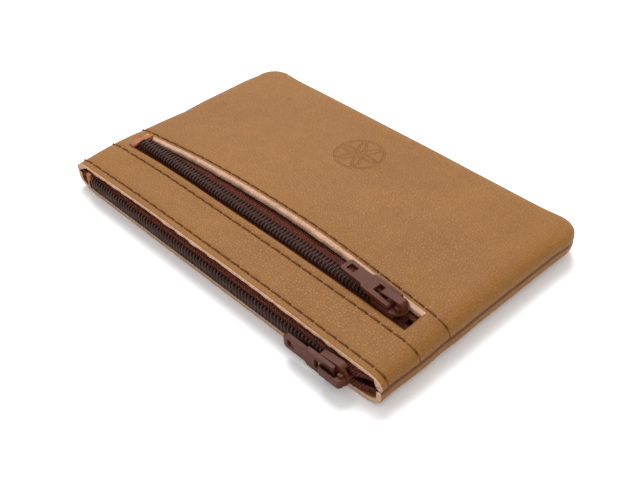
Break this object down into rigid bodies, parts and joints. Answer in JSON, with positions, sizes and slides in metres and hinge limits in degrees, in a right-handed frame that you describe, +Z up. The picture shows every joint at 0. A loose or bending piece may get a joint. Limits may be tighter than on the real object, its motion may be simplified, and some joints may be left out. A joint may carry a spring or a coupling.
{
  "type": "zippered pouch",
  "caption": "Flat leather pouch with a zipped mouth along one long edge and a zipped slot pocket in its front.",
  "frame": {"origin": "middle of the flat face of the back leather, on the surface it lies on", "axes": "+X along the zips towards their closed end, +Y from the mouth to the far seam, +Z up out of the front leather"},
  "size_m": [0.12, 0.0798, 0.0142],
  "materials": {
    "leather": "fine pebble grain, satin",
    "tab_leather": "smooth, satin",
    "lining": "plain woven, matte",
    "thread": "twisted polyester, matte",
    "tape": "woven herringbone, matte",
    "coil": "dyed nylon, semi-matte",
    "core": "braided cord, matte",
    "slider": "stoved enamel, satin",
    "spring": "satin"
  },
  "bodies": {
    "pouch": {"back_mouth_stitches": "thread", "back_panel": "leather", "divider": "lining", "far_seam_stitches": "thread", "front_panel": "leather", "front_panel_slot_stitches": "thread", "front_zip_coil_panel_side": "coil", "front_zip_coil_strip_side": "coil", "front_zip_core_panel_side": "core", "front_zip_core_strip_side": "core", "front_zip_end_tab": "tab_leather", "front_zip_tape_panel_side": "tape", "front_zip_tape_strip_side": "tape", "left_seam_stitches": "thread", "main_zip_coil_lower": "coil", "main_zip_coil_upper": "coil", "main_zip_core_lower": "core", "main_zip_core_upper": "core", "main_zip_end_tab": "tab_leather", "main_zip_tape_lower": "tape", "main_zip_tape_upper": "tape", "right_seam_stitches": "thread", "strip_mouth_stitches": "thread", "strip_slot_stitches": "thread"},
    "main_slider": {"main_slider_body": "slider", "main_slider_bonnet": "slider"},
    "main_lock": {"main_lock_spring": "spring"},
    "main_pull": {"main_pull_tab": "slider"},
    "front_slider": {"front_slider_body": "slider", "front_slider_bonnet": "slider"},
    "front_lock": {"front_lock_spring": "spring"},
    "front_pull": {"front_pull_tab": "slider"}
  },
  "joints": [
    {"name": "main_slide", "type": "slide", "parent": "pouch", "child": "main_slider", "axis": [1, 0, 0], "range_m": [-0.096, 0]},
    {"name": "main_pull_swing", "type": "hinge", "parent": "main_slider", "child": "main_pull", "pos_m": [0.04835, -0.0406, 0.0052], "axis": [0, 0, 1], "range_deg": [0, 140]},
    {"name": "main_lock_lift", "type": "slide", "parent": "main_slider", "child": "main_lock", "axis": [0, -1, 0], "range_m": [0, 0.0004]},
    {"name": "front_slide", "type": "slide", "parent": "pouch", "child": "front_slider", "axis": [1, 0, 0], "range_m": [-0.0945, 0]},
    {"name": "front_pull_swing", "type": "hinge", "parent": "front_slider", "child": "front_pull", "pos_m": [0.04675, -0.0192, 0.012], "axis": [0, 1, 0], "range_deg": [-6, 134]},
    {"name": "front_lock_lift", "type": "slide", "parent": "front_slider", "child": "front_lock", "axis": [0, 0, 1], "range_m": [-0.00002, 0.0004]}
  ],
  "couplings": [
    {"joint": "main_lock_lift", "follows": "main_pull_swing", "m_per_rad": 0.00016},
    {"joint": "front_lock_lift", "follows": "front_pull_swing", "m_per_rad": 0.00016}
  ]
}
